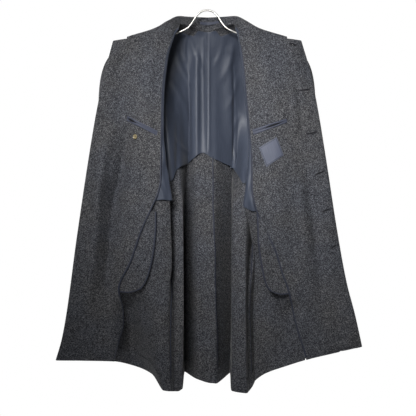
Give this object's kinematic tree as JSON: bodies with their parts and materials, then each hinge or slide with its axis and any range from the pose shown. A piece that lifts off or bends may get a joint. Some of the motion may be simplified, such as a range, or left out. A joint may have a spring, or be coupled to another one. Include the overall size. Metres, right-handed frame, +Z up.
{
  "type": "wool overcoat on a wire hanger",
  "caption": "Long wool overcoat hung open on a bent wire hanger, fronts thrown wide to show facings, half lining and pocket bags, with a turned-down collar and two-piece sleeves.",
  "frame": {"origin": "under the top of the hanger's arch, where a peg or hook holds it", "axes": "+X to the wearer's left, which is the right of the front view; +Y from the open front towards the coat's back; +Z up"},
  "size_m": [0.929, 0.2083, 1.1754],
  "materials": {
    "wool": "charcoal salt-and-pepper tweed with a soft nap",
    "satin": "slate-navy satin lining with a sheen",
    "navy_tape": "navy cotton tape",
    "horn": "dark brown horn-like buttons",
    "wire": "pale bare metal wire"
  },
  "bodies": {
    "root": {"back_right": "wool", "back_left": "wool", "front_right": "wool", "front_left": "wool", "facing_right": "wool", "facing_left": "wool", "facing_binding_right": "navy_tape", "facing_binding_left": "navy_tape", "back_lining_right": "satin", "back_lining_left": "satin", "side_lining_right": "satin", "side_lining_left": "satin", "pocket_bag_right": "wool", "pocket_bag_left": "wool", "pocket_binding_right": "navy_tape", "pocket_binding_left": "navy_tape", "jet_upper_right": "navy_tape", "jet_lower_right": "navy_tape", "jet_upper_left": "navy_tape", "jet_lower_left": "navy_tape", "inner_button": "horn", "label": "navy_tape", "collar_stand": "wool", "collar_fall": "wool", "hanging_loop": "navy_tape", "top_sleeve_right": "wool", "under_sleeve_right": "wool", "top_sleeve_left": "wool", "under_sleeve_left": "wool", "button_1": "horn", "button_2": "horn", "button_3": "horn", "button_4": "horn", "button_5": "horn", "button_6": "horn", "pocket_welt_right": "wool", "pocket_welt_left": "wool", "hanger": "wire"}
  },
  "joints": []
}
